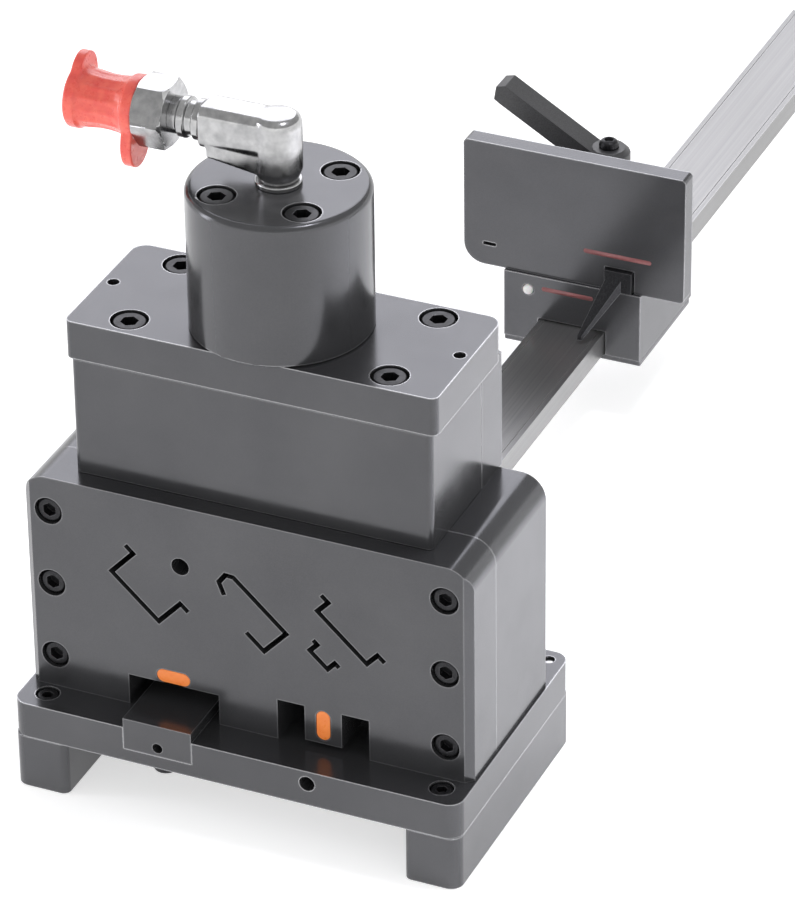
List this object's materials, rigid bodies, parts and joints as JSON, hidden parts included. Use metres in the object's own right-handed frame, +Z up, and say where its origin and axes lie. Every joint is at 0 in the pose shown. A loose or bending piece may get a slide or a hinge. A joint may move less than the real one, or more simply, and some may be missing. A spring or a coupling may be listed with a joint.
{
  "type": "mounting rail cutter and punch",
  "caption": "Bench cutter and punch for mounting rails: slotted die plate, moving blade and oblong punches driven by a hydraulic cylinder, with a clamped length stop sliding on a flat rail.",
  "frame": {"origin": "on the floor, under the middle of the whole object's box", "axes": "+X to the operator's right, +Y away from the operator along the stop rail, +Z up"},
  "size_m": [0.182, 0.64, 0.287],
  "materials": {
    "black_steel": "black oxide on ground steel, satin with sharp bright edges",
    "tool_steel": "ground tool steel, blackened, satin",
    "screw_steel": "black oxide, oiled",
    "bright_zinc": "bright zinc plating, slightly cloudy",
    "rail_aluminium": "drawn and clear anodised, fine lines along its length",
    "seal_rubber": "smooth nitrile rubber",
    "guide_bronze": "turned bronze",
    "cap_plastic": "soft moulded plastic, semi-gloss, coral red",
    "mark_paint": "orange enamel filled in a shallow recess",
    "plug_nylon": "natural nylon",
    "lever_plastic": "glass-filled plastic, fine mould grain"
  },
  "bodies": {
    "machine": {"base_plate": "black_steel", "left_foot": "black_steel", "right_foot": "black_steel", "front_die_plate": "black_steel", "rear_block": "black_steel", "upper_housing": "black_steel", "upper_rear_plate": "black_steel", "top_plate": "black_steel", "cylinder_body": "black_steel", "left_die": "black_steel", "right_die": "tool_steel", "cylinder_screw_1": "screw_steel", "cylinder_screw_2": "screw_steel", "cylinder_screw_3": "screw_steel", "cylinder_screw_4": "screw_steel", "top_plate_screw_1": "screw_steel", "top_plate_screw_2": "screw_steel", "top_plate_screw_3": "screw_steel", "top_plate_screw_4": "screw_steel", "front_plate_screw_1": "screw_steel", "front_plate_screw_2": "screw_steel", "front_plate_screw_3": "screw_steel", "front_plate_screw_4": "screw_steel", "front_plate_screw_5": "screw_steel", "front_plate_screw_6": "screw_steel", "base_screw_left": "screw_steel", "base_screw_right": "screw_steel", "housing_screw_left": "screw_steel", "housing_screw_right": "screw_steel", "rail_screw_1": "screw_steel", "rail_screw_2": "screw_steel", "die_screw": "screw_steel", "return_spring": "bright_zinc", "elbow_fitting": "bright_zinc", "port_seal": "bright_zinc", "adapter_nipple": "bright_zinc", "coupler_body": "bright_zinc", "base_dowel_left": "bright_zinc", "base_dowel_right": "bright_zinc", "stop_rail": "rail_aluminium", "rod_guide": "guide_bronze", "left_mark": "mark_paint", "right_mark": "mark_paint"},
    "ram": {"moving_blade": "tool_steel", "crosshead": "tool_steel", "blade_pin": "tool_steel", "piston_rod": "bright_zinc", "piston_seal": "seal_rubber", "left_punch": "tool_steel", "right_punch": "tool_steel"},
    "length_stop": {"slider_body": "black_steel", "slider_keeper": "black_steel", "stop_plate": "black_steel", "index_finger": "screw_steel", "leg_plug": "plug_nylon"},
    "clamp_lever": {"clamp_stud": "bright_zinc", "clamp_handle": "lever_plastic", "handle_cap_screw": "screw_steel"},
    "cap": {"dust_cap": "cap_plastic"},
    "poppet": {"coupler_poppet": "bright_zinc"}
  },
  "joints": [
    {"name": "ram_slide", "type": "slide", "parent": "machine", "child": "ram", "axis": [0, 0, -1], "range_m": [0, 0.01], "stiffness_N_per_m": 8000, "springref_m": -0.02, "deforming": ["return_spring"]},
    {"name": "stop_slide", "type": "slide", "parent": "machine", "child": "length_stop", "axis": [0, 1, 0], "range_m": [-0.2, 0.235]},
    {"name": "clamp_turn", "type": "hinge", "parent": "length_stop", "child": "clamp_lever", "pos_m": [0, 0.0545, 0.0945], "axis": [0, 0, 1], "range_deg": [-120, 10]},
    {"name": "cap_pull", "type": "slide", "parent": "machine", "child": "cap", "axis": [-1, 0, 0], "range_m": [0, 0.035]},
    {"name": "poppet_slide", "type": "slide", "parent": "machine", "child": "poppet", "axis": [1, 0, 0], "range_m": [0, 0.003], "stiffness_N_per_m": 500, "springref_m": -0.01}
  ]
}
